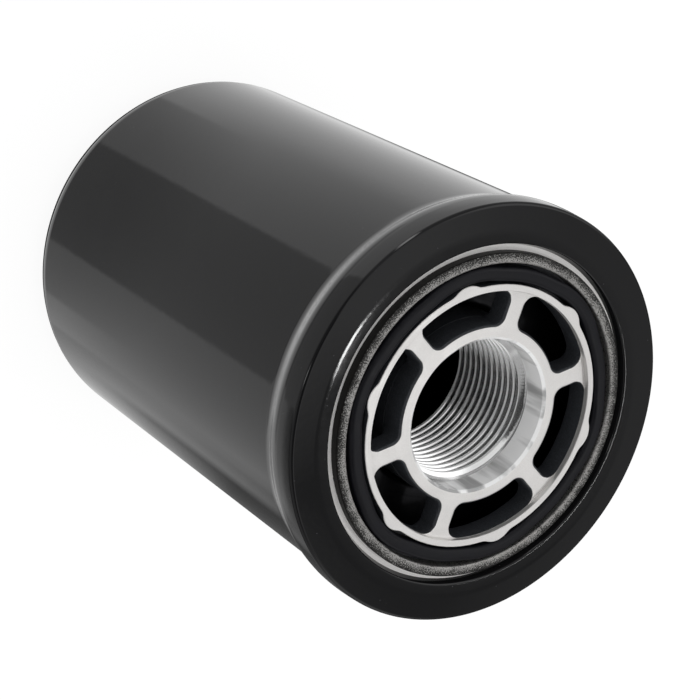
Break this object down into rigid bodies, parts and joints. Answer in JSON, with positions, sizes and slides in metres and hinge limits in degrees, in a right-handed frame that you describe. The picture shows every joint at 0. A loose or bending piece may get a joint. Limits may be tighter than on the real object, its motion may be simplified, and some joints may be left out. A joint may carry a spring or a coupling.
{
  "type": "hydraulic filter",
  "caption": "Spin-on hydraulic filter: a drawn steel can with a rolled rim, and a cast head with a threaded bore, kidney ports and a rubber gasket.",
  "frame": {"origin": "centre of the can's closed end, on the surface that it stands on", "axes": "+Z along the can's axis from the closed end to the open, threaded end; +X through the middle of one port"},
  "size_m": [0.0976, 0.0976, 0.1363],
  "materials": {
    "can_paint": "gloss",
    "head_aluminium": "machined, as-cast port walls",
    "ring_steel": "dull, speckled",
    "gasket_rubber": "satin",
    "seal_rubber": "satin",
    "plated_steel": "zinc plated",
    "filter_medium": "matt fibre",
    "mesh_steel": "coated wire mesh",
    "adhesive": "cured resin",
    "spring_steel": "dark spring steel"
  },
  "bodies": {
    "root": {"filter_can": "can_paint", "filter_head": "head_aluminium", "retainer_ring": "ring_steel", "mounting_gasket": "gasket_rubber", "can_seal": "seal_rubber", "hub_seal": "seal_rubber", "element_top_cap": "plated_steel", "element_bottom_cap": "plated_steel", "centre_tube": "plated_steel", "filter_media": "filter_medium", "upstream_mesh": "mesh_steel", "downstream_mesh": "mesh_steel", "seam_clip": "plated_steel", "top_adhesive": "adhesive", "bottom_adhesive": "adhesive", "element_spring": "spring_steel"}
  },
  "joints": []
}
